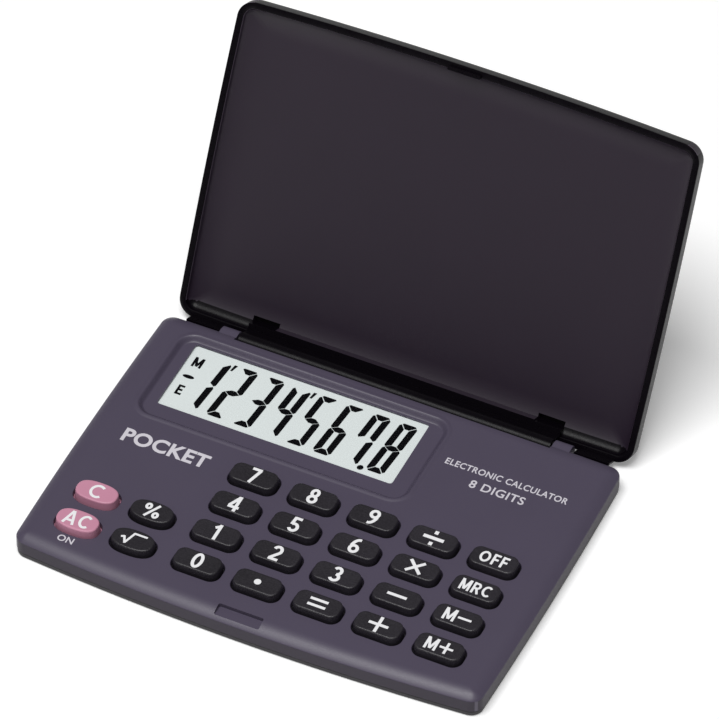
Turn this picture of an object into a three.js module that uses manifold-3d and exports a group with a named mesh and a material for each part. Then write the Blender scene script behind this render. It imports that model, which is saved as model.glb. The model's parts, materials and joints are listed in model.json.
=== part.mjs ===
// A pocket calculator with a hard folding lid: a two-part case, 24 sprung keys, a liquid-crystal
// display behind a clear window, one circuit board and a button cell.
// Millimetres, +Z up, +Y towards the hinge. The origin is the middle of the flat underside.
import * as THREE from "three";
import { mergeVertices } from "three/addons/utils/BufferGeometryUtils.js";
import Module from "manifold-3d";

// Case outline: all four sides are gently bowed outwards.
const CASE_WIDTH = 90;
const CASE_DEPTH = 62.6;
const CORNER_RADIUS = 2.2;
const SIDE_BOW = 0.45;
const FRONT_BOW = 1.9;
const BACK_BOW = 0.35;

// Case heights.
const FLOOR_TOP = 0.9;
const ROOF_THICK = 1.2;
const PARTING_HEIGHT = 1.05;
const PARTING_GAP = 0.1;
const CASE_HEIGHT = 4.8;
const ROOF_UNDERSIDE = CASE_HEIGHT - ROOF_THICK;
const TOP_EDGE_ROLL = 0.9;
const LOWER_EDGE_ROLL = 0.35;
const LOWER_INSET = 0.12;
const WALL = 1.4;
const TONGUE_GAP = 0.2;
const TONGUE_WALL = 0.8;
const TONGUE_HEIGHT = 0.9;

// Keys: one grid of 7 columns and 4 rows holds the rectangular keys and, to their left, the oval
// ones. The grid fills the case between its margins, and the keys fill the grid but for the
// spaces between them.
const GRID_MARGIN_LEFT = 9.65;
const GRID_MARGIN_RIGHT = 11.23;
const GRID_MARGIN_FRONT = 9.3;
const DISPLAY_ZONE = 31.04;
const KEY_SPACE_X = 2.55;
const KEY_SPACE_Y = 2.75;
const OVAL_SPACE_X = 3.3;
const OVAL_SPACE_Y = 2.4;
const OVAL_LEFT_SHIFT = 0.8;
const OVAL_FRONT_SHIFT = 0.3;
const KEY_PITCH_X = (CASE_WIDTH - GRID_MARGIN_LEFT - GRID_MARGIN_RIGHT) / 6;
const KEY_PITCH_Y = (CASE_DEPTH - GRID_MARGIN_FRONT - DISPLAY_ZONE) / 3;
const GRID_LEFT = -CASE_WIDTH / 2 + GRID_MARGIN_LEFT;
const GRID_FRONT = -CASE_DEPTH / 2 + GRID_MARGIN_FRONT;
const KEY_WIDTH = KEY_PITCH_X - KEY_SPACE_X;
const KEY_DEPTH = KEY_PITCH_Y - KEY_SPACE_Y;
const KEY_CORNER = 1.7;
const OVAL_WIDTH = KEY_PITCH_X - OVAL_SPACE_X;
const OVAL_DEPTH = KEY_PITCH_Y - OVAL_SPACE_Y;
const KEY_STANDS = 1.3;
const KEY_GAP = 0.25;
const KEY_EDGE = 0.3;
const KEY_FLANGE = 0.55;
const KEY_FLANGE_THICK = 0.5;
const STACK_GAP = 0.1;

// Display. The dish lies round the window.
const WINDOW_WIDTH = 45.8;
const WINDOW_DEPTH = 15.9;
const WINDOW_MARGIN_LEFT = 8.55;
const WINDOW_MARGIN_BACK = 4.95;
const WINDOW = {
  left: -CASE_WIDTH / 2 + WINDOW_MARGIN_LEFT,
  right: -CASE_WIDTH / 2 + WINDOW_MARGIN_LEFT + WINDOW_WIDTH,
  front: CASE_DEPTH / 2 - WINDOW_MARGIN_BACK - WINDOW_DEPTH,
  back: CASE_DEPTH / 2 - WINDOW_MARGIN_BACK,
};
const WINDOW_CORNER = 0.6;
const DISH = {
  left: WINDOW.left - 2.95,
  right: WINDOW.right + 4.05,
  front: WINDOW.front - 3.95,
  back: WINDOW.back + 0.6,
};
const DISH_CORNER = 3;
const DISH_DEPTH = 0.8;
const LENS_THICK = 0.35;
const LENS_GAP = 0.1;
const LCD_PLATE = 0.45;
const LCD_MARGIN = 1.7;
const LCD_LEDGE = 1.5;
const RIBBON_THICK = 0.1;
const RIBBON_LAP = 2;

// Board, key mat, cell.
const BOARD_THICK = 0.6;
const BOARD_LIFT = 0.25;
const BOARD_MARGIN_SIDE = 6.1;
const BOARD_MARGIN_FRONT = 4.9;
const BOARD_MARGIN_BACK = 4.8;
const BOARD_TO_GLASS = 0.65;
const WING_TO_DISH = 2;
const BOARD_HALF_WIDTH = CASE_WIDTH / 2 - BOARD_MARGIN_SIDE;
const BOARD_FRONT = -CASE_DEPTH / 2 + BOARD_MARGIN_FRONT;
const BOARD_BACK = WINDOW.front - LCD_MARGIN - LCD_LEDGE - BOARD_TO_GLASS;
const BOARD_WING_LEFT = DISH.right + WING_TO_DISH;
const BOARD_WING_BACK = CASE_DEPTH / 2 - BOARD_MARGIN_BACK;
const MAT_THICK = 0.45;
const MAT_GAP = 0.05;
const MAT_MARGIN = 0.6;
const DOME_RADIUS_TOP = 1.5;
const DOME_RADIUS_FOOT = 2.1;
const CELL_DIAMETER = 11.6;
const CELL_THICK = 2.1;
const CELL_CLEARANCE = 0.4;
const CELL_RIM = 5.1;
const CELL_PLACE = [
  BOARD_HALF_WIDTH - CELL_RIM - CELL_DIAMETER / 2,
  (WINDOW.front + WINDOW.back) / 2,
];
const CONTACT_THICK = 0.2;
const CONTACT_WIDTH = 4;
const CHIP_TO_WINDOW = 5.15;
const CHIP_TO_EDGE = 0.9;
const CHIP_SIZE = [5, 2.6, 0.6];
const CHIP_PLACE = [WINDOW.right + CHIP_TO_WINDOW, BOARD_BACK - CHIP_TO_EDGE];
const CAPACITOR_SIZE = [2, 1.2, 0.8];
const CAPACITOR_SPACING = 10;
const CAPACITOR_INSET = 3.5;
const CAPACITOR_PLACES = [
  [BOARD_WING_LEFT + CAPACITOR_INSET, CELL_PLACE[1] + CAPACITOR_SPACING / 2],
  [BOARD_WING_LEFT + CAPACITOR_INSET, CELL_PLACE[1] - CAPACITOR_SPACING / 2],
];

// Screws from the underside into bosses of the upper case.
const SCREW_MARGIN_SIDE = 4;
const SCREW_MARGIN_FRONT = 4.7;
const SCREW_MARGIN_BACK = 4.4;
const SCREW_X = CASE_WIDTH / 2 - SCREW_MARGIN_SIDE;
const SCREW_FRONT = -CASE_DEPTH / 2 + SCREW_MARGIN_FRONT;
const SCREW_BACK = CASE_DEPTH / 2 - SCREW_MARGIN_BACK;
const BOSS_RADIUS = 1.5;
const SCREW_SHANK = 0.7;
const SCREW_HEAD = 1.25;
const SCREW_HEAD_THICK = 0.5;
const SCREW_LENGTH = 2.6;
const SCREW_GAP = 0.1;

// Lid and hinge. The lid is drawn closed, about the hinge axis, and stands open by LID_OPEN.
const LID_OPEN = THREE.MathUtils.degToRad(117);
const HINGE_BEHIND = 0.5;
const HINGE_Y = CASE_DEPTH / 2 + HINGE_BEHIND;
const HINGE_Z = CASE_HEIGHT / 2;
const BARREL_RADIUS = 1.7;
const BARREL_MARGIN = 14.5;
const BARREL_HALF = CASE_WIDTH / 2 - BARREL_MARGIN;
const HINGE_GAP = 0.3;
const PIN_RADIUS = 0.75;
const PIN_LENGTH = 2;
const PIN_CLEARANCE = 0.12;
const EAR_RADIUS = 1.6;
const EAR_WIDTH = 3.4;
const LID_INSET = 0.35;
const LID_BEHIND = 0.55;
const LID_WIDTH = CASE_WIDTH - 2 * LID_INSET;
const LID_BACK = CASE_DEPTH / 2 + LID_BEHIND;
const LID_LENGTH = CASE_DEPTH - 1;
const LID_THICK = 3.4;
const LID_WALL = 1.3;
const LID_POCKET = 2.2;
const LID_EDGE_ROLL = 1.3;
const LID_FRONT_BOW = 1.05;
const LID_SIDE_BOW = 0.3;
const LID_CORNER = 3.2;
const LID_LIFT = 0.2;
const HINGE_LEDGE = 2.7;
const SKIRT_GAP = 0.12;
const SKIRT_TO_KNUCKLE = 0.3;
const SKIRT_LENGTH = 6.8;
const HINGE_WEB = 1.2;
const TAB_CENTRE = -0.8;
const TAB_WIDTH = 6.3;
const TAB_THICK = 0.7;
const TAB_INTO_WALL = 0.6;
const TAB_DROP = 0.5;
const LATCH_WIDTH = 8.6;
const LATCH_REACH = 3.1;
const LATCH_LIP = 0.8;
const LATCH_DEPTH = 0.8;
const SLOT_WIDTH = 5.2;
const SLOT_DEPTH = 0.7;
const SLOT_ROOF = 0.4;

const CURVE_STEPS = 3;
const ROUND_STEPS = 18;
const DOME_STEPS = 10;

const wasm = await Module();
wasm.setup();

// ---- solids -------------------------------------------------------------------------------

// A closed geometry as a solid that can be cut and joined.
function solidOf(geometry) {
  const bare = geometry.index ? geometry.toNonIndexed() : geometry.clone();
  bare.deleteAttribute("normal");
  bare.deleteAttribute("uv");
  const merged = mergeVertices(bare, 1e-4);
  return new wasm.Manifold(
    new wasm.Mesh({
      numProp: 3,
      vertProperties: merged.attributes.position.array,
      triVerts: new Uint32Array(merged.index.array),
    }),
  );
}

// A named mesh in its own material.
function meshOf(name, solid, { colour, roughness, metalness = 0 }) {
  const m = solid.getMesh();
  const geometry = new THREE.BufferGeometry();
  geometry.setAttribute("position", new THREE.BufferAttribute(m.vertProperties, 3));
  geometry.setIndex(new THREE.BufferAttribute(m.triVerts, 1));
  geometry.computeVertexNormals();
  const material = new THREE.MeshStandardMaterial({ color: colour, roughness, metalness });
  const mesh = new THREE.Mesh(geometry, material);
  mesh.name = name;
  return mesh;
}

// A box given by its two far corners.
function boxBetween([x0, y0, z0], [x1, y1, z1]) {
  const box = new THREE.BoxGeometry(x1 - x0, y1 - y0, z1 - z0);
  return solidOf(box.translate((x0 + x1) / 2, (y0 + y1) / 2, (z0 + z1) / 2));
}

// An upright cylinder or cone standing on z0.
function post(radius, x, y, z0, z1, topRadius = radius, steps = ROUND_STEPS) {
  const rod = new THREE.CylinderGeometry(topRadius, radius, z1 - z0, steps);
  return solidOf(rod.rotateX(Math.PI / 2).translate(x, y, (z0 + z1) / 2));
}

// A rod along X.
function rodAlongX(radius, x0, x1, y, z) {
  const rod = new THREE.CylinderGeometry(radius, radius, x1 - x0, ROUND_STEPS);
  return solidOf(rod.rotateZ(Math.PI / 2).translate((x0 + x1) / 2, y, z));
}

// A flat shape raised from z0 to z1. With edge > 0 both rims are rolled inwards by that much.
function raise(points, z0, z1, edge = 0, edgeSteps = 3) {
  const shape = new THREE.Shape(points);
  const geometry = new THREE.ExtrudeGeometry(shape, {
    depth: z1 - z0 - 2 * edge,
    bevelEnabled: edge > 0,
    bevelThickness: edge,
    bevelSize: edge,
    bevelOffset: -edge,
    bevelSegments: edgeSteps,
    steps: 1,
  });
  return solidOf(geometry.translate(0, 0, z0 + edge));
}

function joined(...solids) {
  return solids.reduce((a, b) => a.add(b));
}

// ---- outlines -----------------------------------------------------------------------------

// Points round a rounded rectangle, anticlockwise, with each straight side in sideSteps.
function roundedRectangle(cx, cy, width, depth, radius, sideSteps = 1, cornerSteps = CURVE_STEPS) {
  const corners = [
    [cx + width / 2 - radius, cy + depth / 2 - radius, 0],
    [cx - width / 2 + radius, cy + depth / 2 - radius, 1],
    [cx - width / 2 + radius, cy - depth / 2 + radius, 2],
    [cx + width / 2 - radius, cy - depth / 2 + radius, 3],
  ];
  const points = [];
  for (const [x, y, quarter] of corners) {
    for (let i = 0; i <= cornerSteps; i++) {
      const angle = ((quarter + i / cornerSteps) * Math.PI) / 2;
      points.push(new THREE.Vector2(x + radius * Math.cos(angle), y + radius * Math.sin(angle)));
    }
  }
  if (sideSteps < 2) return points;
  const full = [];
  points.forEach((p, i) => {
    const next = points[(i + 1) % points.length];
    full.push(p);
    if ((i + 1) % (cornerSteps + 1) !== 0) return;
    for (let s = 1; s < sideSteps; s++) full.push(p.clone().lerp(next, s / sideSteps));
  });
  return full;
}

function areaRectangle({ left, right, front, back }, radius, margin = 0) {
  const width = right - left + 2 * margin;
  const depth = back - front + 2 * margin;
  return roundedRectangle((left + right) / 2, (front + back) / 2, width, depth, radius);
}

// A rounded rectangle whose sides are bowed: each side falls back by its bow at its two ends.
function bowedOutline({ width, front, back, corner, sideBow, frontBow, backBow, inset = 0 }) {
  const middle = (front + back) / 2;
  const half = (back - front) / 2;
  const plain = roundedRectangle(
    0, middle, width - 2 * inset, back - front - 2 * inset, Math.max(corner - inset, 0.3), 8);
  return plain.map((p) => {
    const across = p.x / (width / 2);
    const along = (p.y - middle) / half;
    const bow = along < 0 ? frontBow : backBow;
    const x = p.x - Math.sign(p.x) * sideBow * along * along * Math.abs(across);
    const y = p.y - Math.sign(along) * bow * across * across * Math.abs(along);
    return new THREE.Vector2(x, y);
  });
}

function caseOutline(inset = 0) {
  return bowedOutline({
    width: CASE_WIDTH, front: -CASE_DEPTH / 2, back: CASE_DEPTH / 2, corner: CORNER_RADIUS,
    sideBow: SIDE_BOW, frontBow: FRONT_BOW, backBow: BACK_BOW, inset,
  });
}

function lidOutline(inset = 0) {
  return bowedOutline({
    width: LID_WIDTH, front: LID_BACK - LID_LENGTH, back: LID_BACK, corner: LID_CORNER,
    sideBow: LID_SIDE_BOW, frontBow: LID_FRONT_BOW, backBow: BACK_BOW, inset,
  });
}

function ellipse(cx, cy, width, depth) {
  return new THREE.EllipseCurve(cx, cy, width / 2, depth / 2).getPoints(ROUND_STEPS).slice(1);
}

// ---- keys ---------------------------------------------------------------------------------

// Column 0 is the left column of ovals; row 0 is the row nearest the user. The ovals stand a little
// nearer the user than their row, and those of column 1 a little to the left.
const KEYS = [
  ["key_all_clear", 0, 0, "oval"], ["key_clear", 0, 1, "oval"],
  ["key_root", 1, 0, "oval"], ["key_percent", 1, 1, "oval"],
  ["key_0", 2, 0], ["key_point", 3, 0], ["key_equals", 4, 0], ["key_plus", 5, 0],
  ["key_memory_plus", 6, 0],
  ["key_1", 2, 1], ["key_2", 3, 1], ["key_3", 4, 1], ["key_minus", 5, 1],
  ["key_memory_minus", 6, 1],
  ["key_4", 2, 2], ["key_5", 3, 2], ["key_6", 4, 2], ["key_times", 5, 2],
  ["key_memory_recall", 6, 2],
  ["key_7", 2, 3], ["key_8", 3, 3], ["key_9", 4, 3], ["key_divide", 5, 3], ["key_off", 6, 3],
].map(([name, column, row, oval]) => ({
  name,
  x: GRID_LEFT + column * KEY_PITCH_X - (oval && column === 1 ? OVAL_LEFT_SHIFT : 0),
  y: GRID_FRONT + row * KEY_PITCH_Y - (oval ? OVAL_FRONT_SHIFT : 0),
  oval: Boolean(oval),
}));
const PINK_KEYS = ["key_all_clear", "key_clear"];

// A key's plan, grown by a margin all round.
function keyPlan({ x, y, oval }, margin) {
  if (oval) return ellipse(x, y, OVAL_WIDTH + 2 * margin, OVAL_DEPTH + 2 * margin);
  return roundedRectangle(
    x, y, KEY_WIDTH + 2 * margin, KEY_DEPTH + 2 * margin, KEY_CORNER + margin);
}

const flangeTop = ROOF_UNDERSIDE - STACK_GAP;
const flangeBottom = flangeTop - KEY_FLANGE_THICK;
const keyTop = CASE_HEIGHT + KEY_STANDS;

function keySolid(key) {
  const capBottom = flangeBottom - 1;
  const body = raise(keyPlan(key, 0), capBottom, keyTop, KEY_EDGE, 2);
  const reach = [OVAL_WIDTH + KEY_WIDTH, OVAL_DEPTH + KEY_DEPTH];
  const above = boxBetween(
    [key.x - reach[0], key.y - reach[1], flangeTop - STACK_GAP],
    [key.x + reach[0], key.y + reach[1], keyTop + 1]);
  const flange = raise(keyPlan(key, KEY_FLANGE), flangeBottom, flangeTop);
  return body.intersect(above).add(flange);
}

// ---- case ---------------------------------------------------------------------------------

const bosses = [
  [-SCREW_X, SCREW_FRONT], [SCREW_X, SCREW_FRONT], [-SCREW_X, SCREW_BACK], [SCREW_X, SCREW_BACK],
];
const barrelCut = BARREL_RADIUS + HINGE_GAP;
const latchFloor = CASE_HEIGHT - LATCH_DEPTH;
const cheek = BARREL_HALF + HINGE_GAP;

// The shell of the case above the parting line, rolled over at its top edge.
function upperShell() {
  const whole = raise(caseOutline(), -CASE_HEIGHT, CASE_HEIGHT, TOP_EDGE_ROLL, 4);
  const keep = boxBetween(
    [-CASE_WIDTH, -CASE_DEPTH, PARTING_HEIGHT + PARTING_GAP],
    [CASE_WIDTH, CASE_DEPTH, CASE_HEIGHT + 1]);
  const inside = raise(caseOutline(WALL), -1, ROOF_UNDERSIDE);
  return whole.intersect(keep).subtract(inside);
}

// The two knuckles behind the back wall that carry the lid's pivots.
function hingeEars() {
  const ears = [-1, 1].map((side) => {
    const x0 = Math.min(side * cheek, side * (cheek + EAR_WIDTH));
    const x1 = x0 + EAR_WIDTH;
    const knuckle = rodAlongX(EAR_RADIUS, x0, x1, HINGE_Y, HINGE_Z);
    const inFront = CASE_DEPTH / 2 - BACK_BOW - WALL / 2;
    const neck = boxBetween(
      [x0, inFront, Math.max(PARTING_HEIGHT + PARTING_GAP, HINGE_Z - EAR_RADIUS)],
      [x1, HINGE_Y, HINGE_Z + EAR_RADIUS]);
    return knuckle.add(neck);
  });
  const aboveParting = boxBetween(
    [-CASE_WIDTH, 0, PARTING_HEIGHT + PARTING_GAP], [CASE_WIDTH, CASE_DEPTH, CASE_HEIGHT]);
  return joined(...ears).intersect(aboveParting);
}

// The clear run for the lid's barrel across the middle of the back edge. The wall in front of it
// is kept WALL thick.
function hingeNotch(z0, z1) {
  return boxBetween([-cheek, HINGE_Y - barrelCut, z0], [cheek, CASE_DEPTH, z1]);
}

function notchWall() {
  const front = HINGE_Y - barrelCut - WALL;
  return boxBetween(
    [-cheek - WALL, front, PARTING_HEIGHT + PARTING_GAP],
    [cheek + WALL, HINGE_Y - barrelCut, ROOF_UNDERSIDE + 0.1]);
}

function upperCase() {
  let body = upperShell().add(notchWall()).subtract(hingeNotch(-1, CASE_HEIGHT + 1));
  body = body.add(hingeEars());
  for (const [x, y] of bosses) {
    body = body.add(post(BOSS_RADIUS, x, y, PARTING_HEIGHT + PARTING_GAP, ROOF_UNDERSIDE + 0.1));
  }
  const dish = raise(areaRectangle(DISH, DISH_CORNER), CASE_HEIGHT - DISH_DEPTH, CASE_HEIGHT + 1);
  body = body.subtract(dish);
  body = body.subtract(raise(areaRectangle(WINDOW, WINDOW_CORNER), 0, CASE_HEIGHT));
  for (const key of KEYS) body = body.subtract(raise(keyPlan(key, KEY_GAP), 0, CASE_HEIGHT + 1));
  for (const [x, y] of bosses) {
    const bore = PARTING_HEIGHT + SCREW_LENGTH - SCREW_HEAD_THICK + SCREW_GAP;
    body = body.subtract(post(SCREW_SHANK + SCREW_GAP, x, y, 0, bore));
  }
  const pinBore = cheek + PIN_LENGTH;
  body = body.subtract(rodAlongX(PIN_RADIUS + PIN_CLEARANCE, -pinBore, pinBore, HINGE_Y, HINGE_Z));
  const latchBack = -CASE_DEPTH / 2 + LATCH_REACH;
  return body.subtract(boxBetween(
    [TAB_CENTRE - LATCH_WIDTH / 2, -CASE_DEPTH / 2 + LATCH_LIP, latchFloor],
    [TAB_CENTRE + LATCH_WIDTH / 2, latchBack, CASE_HEIGHT + 1]));
}

function screwHole(x, y) {
  const head = post(SCREW_HEAD + SCREW_GAP, x, y, -1, SCREW_HEAD_THICK);
  return head.add(post(SCREW_SHANK + SCREW_GAP, x, y, -1, TONGUE_HEIGHT + PARTING_HEIGHT));
}

// The back cover: a shallow tray with a tongue that stands inside the upper case.
function lowerCase() {
  const outline = caseOutline(LOWER_INSET);
  const whole = raise(outline, 0, 2 * PARTING_HEIGHT + 1, LOWER_EDGE_ROLL);
  const keep = boxBetween([-CASE_WIDTH, -CASE_DEPTH, -1], [CASE_WIDTH, CASE_DEPTH, PARTING_HEIGHT]);
  const hollow = raise(caseOutline(WALL + TONGUE_GAP + TONGUE_WALL), FLOOR_TOP, CASE_HEIGHT);
  const tongue = raise(caseOutline(WALL + TONGUE_GAP), FLOOR_TOP - 0.2, PARTING_HEIGHT + TONGUE_HEIGHT);
  const barrelFront = HINGE_Y - barrelCut;
  const innerBack = boxBetween(
    [-cheek - WALL - TONGUE_GAP, barrelFront - WALL - TONGUE_GAP, FLOOR_TOP],
    [cheek + WALL + TONGUE_GAP, CASE_DEPTH, CASE_HEIGHT]);
  let body = whole.intersect(keep).add(tongue).subtract(hollow).subtract(innerBack);
  body = body.subtract(hingeNotch(-1, CASE_HEIGHT));
  for (const [x, y] of bosses) {
    const around = post(BOSS_RADIUS + TONGUE_GAP, x, y, PARTING_HEIGHT, CASE_HEIGHT);
    const seat = post(BOSS_RADIUS, x, y, FLOOR_TOP - 0.2, PARTING_HEIGHT);
    body = body.subtract(around).add(seat).subtract(screwHole(x, y));
  }
  const ribTop = FLOOR_TOP + BOARD_LIFT - STACK_GAP / 2;
  const ribReach = BOARD_HALF_WIDTH - 4;
  for (const y of [BOARD_FRONT + 3, BOARD_BACK - 3]) {
    body = body.add(boxBetween([-ribReach, y - 0.5, FLOOR_TOP - 0.2], [ribReach, y + 0.5, ribTop]));
  }
  return body;
}

function screw(x, y) {
  const head = post(SCREW_HEAD, x, y, 0.05, SCREW_HEAD_THICK - 0.05);
  const cross = boxBetween([x - 0.8, y - 0.15, 0], [x + 0.8, y + 0.15, 0.25]).add(
    boxBetween([x - 0.15, y - 0.8, 0], [x + 0.15, y + 0.8, 0.25]));
  const shank = post(SCREW_SHANK, x, y, SCREW_HEAD_THICK - 0.1, SCREW_LENGTH);
  return head.add(shank).subtract(cross);
}

// ---- inside -------------------------------------------------------------------------------

const boardBottom = FLOOR_TOP + BOARD_LIFT;
const boardTop = boardBottom + BOARD_THICK;
const lcdTop = ROOF_UNDERSIDE - STACK_GAP;
const lcdBottom = lcdTop - 2 * LCD_PLATE;
const lcdFront = WINDOW.front - LCD_MARGIN;

// The clear window stands in the opening of the roof, just under the floor of the dish.
function displayWindow() {
  const plan = areaRectangle(WINDOW, WINDOW_CORNER - LENS_GAP, -LENS_GAP);
  return raise(plan, ROOF_UNDERSIDE, ROOF_UNDERSIDE + LENS_THICK);
}

// Two glass plates; the lower one reaches further forward to carry the ribbon.
function lcdPanel() {
  const left = WINDOW.left - LCD_MARGIN;
  const right = WINDOW.right + LCD_MARGIN;
  const back = WINDOW.back + LCD_MARGIN / 2;
  const rear = boxBetween([left, lcdFront - LCD_LEDGE, lcdBottom], [right, back, lcdTop - LCD_PLATE]);
  const front = boxBetween([left, lcdFront, lcdBottom + 0.1], [right, back, lcdTop]);
  return rear.add(front);
}

// The heat-sealed ribbon from the glass ledge down to the board, drawn in section and run along X.
function lcdRibbon() {
  const ledge = lcdTop - LCD_PLATE + MAT_GAP;
  const ledgeFront = lcdFront - LCD_LEDGE - MAT_GAP;
  const onBoard = boardTop + MAT_GAP;
  const t = RIBBON_THICK;
  const section = [
    [lcdFront - 0.2, ledge], [lcdFront - 0.2, ledge + t], [ledgeFront - t, ledge + t],
    [ledgeFront - 2 * t, onBoard + t], [ledgeFront - RIBBON_LAP, onBoard + t],
    [ledgeFront - RIBBON_LAP, onBoard], [ledgeFront - t, onBoard], [ledgeFront, ledge],
  ].map(([y, z]) => new THREE.Vector2(y, z));
  const length = WINDOW.right - WINDOW.left - 6;
  const strip = new THREE.ExtrudeGeometry(new THREE.Shape(section.reverse()), {
    depth: length, bevelEnabled: false, steps: 1,
  });
  // The section's axes are Y and Z: turn it so that it runs along X.
  strip.rotateY(Math.PI / 2).rotateX(Math.PI / 2);
  return solidOf(strip.translate(WINDOW.left + 3, 0, 0));
}

function circuitBoard() {
  const main = boxBetween(
    [-BOARD_HALF_WIDTH, BOARD_FRONT, boardBottom], [BOARD_HALF_WIDTH, BOARD_BACK, boardTop]);
  const wing = boxBetween(
    [BOARD_WING_LEFT, BOARD_BACK - 1, boardBottom],
    [BOARD_HALF_WIDTH, BOARD_WING_BACK, boardTop]);
  const hole = post(CELL_DIAMETER / 2 + CELL_CLEARANCE, ...CELL_PLACE, 0, CASE_HEIGHT);
  return main.add(wing).subtract(hole);
}

// The silicone sheet with one dome under each key.
function keyMat() {
  const first = KEYS[0];
  const last = KEYS[KEYS.length - 1];
  const left = Math.max(first.x - OVAL_WIDTH / 2 - MAT_MARGIN, -BOARD_HALF_WIDTH);
  const right = last.x + KEY_WIDTH / 2 + MAT_MARGIN;
  const front = first.y - KEY_DEPTH / 2 - MAT_MARGIN;
  const back = last.y + DOME_RADIUS_FOOT + MAT_MARGIN / 2;
  const base = boardTop + MAT_GAP;
  let sheet = boxBetween([left, front, base], [right, back, base + MAT_THICK]);
  for (const { x, y } of KEYS) {
    const top = flangeBottom - MAT_GAP;
    sheet = sheet.add(post(DOME_RADIUS_FOOT, x, y, base + 0.1, top, DOME_RADIUS_TOP, DOME_STEPS));
  }
  return sheet;
}

const cellBottom = FLOOR_TOP + 0.1 + CONTACT_THICK;
const cellTop = cellBottom + CELL_THICK;

function cell() {
  const can = post(CELL_DIAMETER / 2, ...CELL_PLACE, cellBottom + 0.25, cellTop);
  return can.add(post(CELL_DIAMETER / 2 - 1, ...CELL_PLACE, cellBottom, cellBottom + 0.5));
}

// The strip under the cell, which runs on beneath the board.
function negativeContact() {
  const [x, y] = CELL_PLACE;
  const z0 = FLOOR_TOP + MAT_GAP;
  return boxBetween(
    [x - 2, y - CONTACT_WIDTH / 2, z0],
    [x + CELL_DIAMETER / 2 + CELL_CLEARANCE + 2, y + CONTACT_WIDTH / 2, z0 + CONTACT_THICK - MAT_GAP]);
}

// The strip over the cell, bent down to the board beside it.
function positiveContact() {
  const [x, y] = CELL_PLACE;
  const z0 = cellTop + MAT_GAP;
  const leg = x - CELL_DIAMETER / 2 - CELL_CLEARANCE - 1.5;
  const y0 = y - CONTACT_WIDTH / 2;
  const y1 = y + CONTACT_WIDTH / 2;
  const strip = boxBetween([leg, y0, z0], [x + 2, y1, z0 + CONTACT_THICK - MAT_GAP]);
  return strip.add(boxBetween([leg, y0, boardTop + MAT_GAP], [leg + CONTACT_THICK, y1, z0 + MAT_GAP]));
}

function chipCover() {
  const [x, y] = CHIP_PLACE;
  const [width, depth, height] = CHIP_SIZE;
  const plan = ellipse(x, y, width, depth);
  return raise(plan, boardTop + MAT_GAP, boardTop + MAT_GAP + height, height / 4, 1);
}

function capacitor([x, y]) {
  const [width, depth, height] = CAPACITOR_SIZE;
  const z0 = boardTop + MAT_GAP;
  return boxBetween([x - width / 2, y - depth / 2, z0], [x + width / 2, y + depth / 2, z0 + height]);
}

// ---- lid, drawn closed --------------------------------------------------------------------

const lidRim = CASE_HEIGHT + LID_LIFT;
const lidTop = lidRim + LID_THICK;
const lidFront = LID_BACK - LID_LENGTH;

function lidTray() {
  const whole = raise(lidOutline(), lidRim - LID_THICK, lidTop, LID_EDGE_ROLL, 4);
  const keep = boxBetween([-LID_WIDTH, lidFront - 5, lidRim], [LID_WIDTH, LID_BACK + 5, lidTop + 1]);
  const pocket = raise(lidOutline(LID_WALL), 0, lidRim + LID_POCKET);
  return whole.intersect(keep).subtract(pocket);
}

// The ledge inside the back wall, the web down to the barrel, the barrel and its two pivots.
function lidHinge() {
  const ledge = boxBetween(
    [-BARREL_HALF, LID_BACK - BACK_BOW - HINGE_LEDGE, lidRim],
    [BARREL_HALF, LID_BACK - BACK_BOW, lidRim + LID_POCKET + 0.2]);
  const web = boxBetween(
    [-BARREL_HALF, LID_BACK - BACK_BOW - HINGE_WEB, HINGE_Z],
    [BARREL_HALF, LID_BACK - BACK_BOW, lidRim + 0.5]);
  const barrel = rodAlongX(BARREL_RADIUS, -BARREL_HALF, BARREL_HALF, HINGE_Y, HINGE_Z);
  const pinEnd = BARREL_HALF + PIN_LENGTH;
  return joined(ledge, web, barrel, rodAlongX(PIN_RADIUS, -pinEnd, pinEnd, HINGE_Y, HINGE_Z));
}

// A thin skirt hangs from each end of the back wall, and closes the gap behind the case.
function lidSkirts() {
  const hung = raise(lidOutline(0.02), HINGE_Z, lidRim + 0.3)
    .subtract(raise(caseOutline(-SKIRT_GAP), 0, lidTop));
  const ends = [-1, 1].map((side) => {
    const inner = side * (cheek + EAR_WIDTH + SKIRT_TO_KNUCKLE);
    const outer = inner + side * SKIRT_LENGTH;
    return boxBetween(
      [Math.min(inner, outer), CASE_DEPTH / 2 - 1.5, HINGE_Z],
      [Math.max(inner, outer), CASE_DEPTH, lidRim + 0.3]);
  });
  return hung.intersect(joined(...ends));
}

// Blind slots beside the two pivots, which let the ends of the ledge spring in when the lid is fitted.
function springSlots() {
  const y1 = LID_BACK - BACK_BOW - HINGE_LEDGE;
  return [-1, 1].map((side) => {
    const outer = side * BARREL_HALF;
    const inner = side * (BARREL_HALF - SLOT_WIDTH);
    return boxBetween(
      [Math.min(outer, inner), y1 - SLOT_DEPTH, lidRim],
      [Math.max(outer, inner), y1 + 0.3, lidTop - SLOT_ROOF]);
  });
}

// The catch: a small block on the inside of the lid's free edge.
function catchTab() {
  const y0 = lidFront + LID_WALL - TAB_INTO_WALL;
  return boxBetween(
    [TAB_CENTRE - TAB_WIDTH / 2, y0, lidRim - TAB_DROP],
    [TAB_CENTRE + TAB_WIDTH / 2, y0 + TAB_THICK, lidRim + LID_POCKET + 0.2]);
}

function lid() {
  let body = joined(lidTray(), lidHinge(), lidSkirts(), catchTab());
  for (const slot of springSlots()) body = body.subtract(slot);
  return body;
}

// ---- assembly -----------------------------------------------------------------------------

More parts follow.
